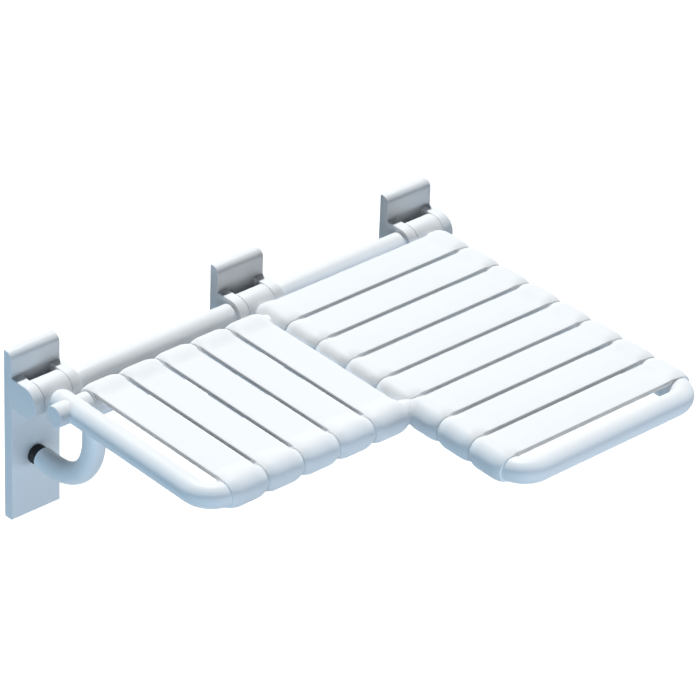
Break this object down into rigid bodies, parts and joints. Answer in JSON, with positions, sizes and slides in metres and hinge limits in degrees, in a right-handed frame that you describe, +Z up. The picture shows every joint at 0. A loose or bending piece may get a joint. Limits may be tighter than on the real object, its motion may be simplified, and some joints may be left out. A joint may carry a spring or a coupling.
{
  "type": "fold down wall seat",
  "caption": "L-shaped slatted shower seat that folds up against the wall about hinged brackets and rests on hooked supports when down.",
  "frame": {"origin": "on the wall, in the middle of the middle bracket's width, at the height of the hinge line", "axes": "+X along the wall to the long leg's side, +Y into the wall, +Z up; the seat reaches out along -Y"},
  "size_m": [0.709, 0.568, 0.25],
  "materials": {
    "white_nylon": "smooth semi gloss",
    "white_slats": "smooth semi gloss",
    "steel": "zinc plated",
    "screw_steel": "stainless",
    "bush_plastic": "matte",
    "black_rubber": "matte"
  },
  "bodies": {
    "wall_side": {"wall_plate_left": "steel", "wall_plate_middle": "steel", "wall_plate_right": "steel", "cover_left": "white_nylon", "cover_middle": "white_nylon", "cover_right": "white_nylon", "cover_screws": "screw_steel", "hinge_pin_left": "steel", "hinge_pin_middle": "steel", "hinge_pin_right": "steel", "pin_screws": "screw_steel", "rail_left": "white_nylon", "rail_right": "white_nylon", "rail_core_left": "steel", "rail_core_right": "steel"},
    "seat": {"hub_left": "white_nylon", "hub_middle": "white_nylon", "hub_right": "white_nylon", "hinge_bushes": "bush_plastic", "frame_core": "steel", "arm_left": "white_nylon", "arm_middle": "white_nylon", "arm_right": "white_nylon", "corner_left": "white_nylon", "corner_middle": "white_nylon", "corner_right": "white_nylon", "front_tube_left": "white_nylon", "front_tube_right": "white_nylon", "back_tube": "white_nylon", "back_stub": "white_nylon", "stub_cap": "white_nylon", "support_left": "white_nylon", "support_middle": "white_nylon", "support_right": "white_nylon", "support_core_left": "steel", "support_core_middle": "steel", "support_core_right": "steel", "bumper_left": "black_rubber", "bumper_middle": "black_rubber", "bumper_right": "black_rubber", "short_slat_1": "white_slats", "short_slat_2": "white_slats", "short_slat_3": "white_slats", "short_slat_4": "white_slats", "short_slat_5": "white_slats", "long_slat_1": "white_slats", "long_slat_2": "white_slats", "long_slat_3": "white_slats", "long_slat_4": "white_slats", "long_slat_5": "white_slats", "long_slat_6": "white_slats", "long_slat_7": "white_slats", "long_slat_8": "white_slats", "short_slat_screws": "screw_steel", "long_slat_screws": "screw_steel"}
  },
  "joints": [
    {"name": "seat_fold", "type": "hinge", "parent": "wall_side", "child": "seat", "pos_m": [0, -0.0405, 0], "axis": [-1, 0, 0], "range_deg": [0, 91.5]}
  ]
}
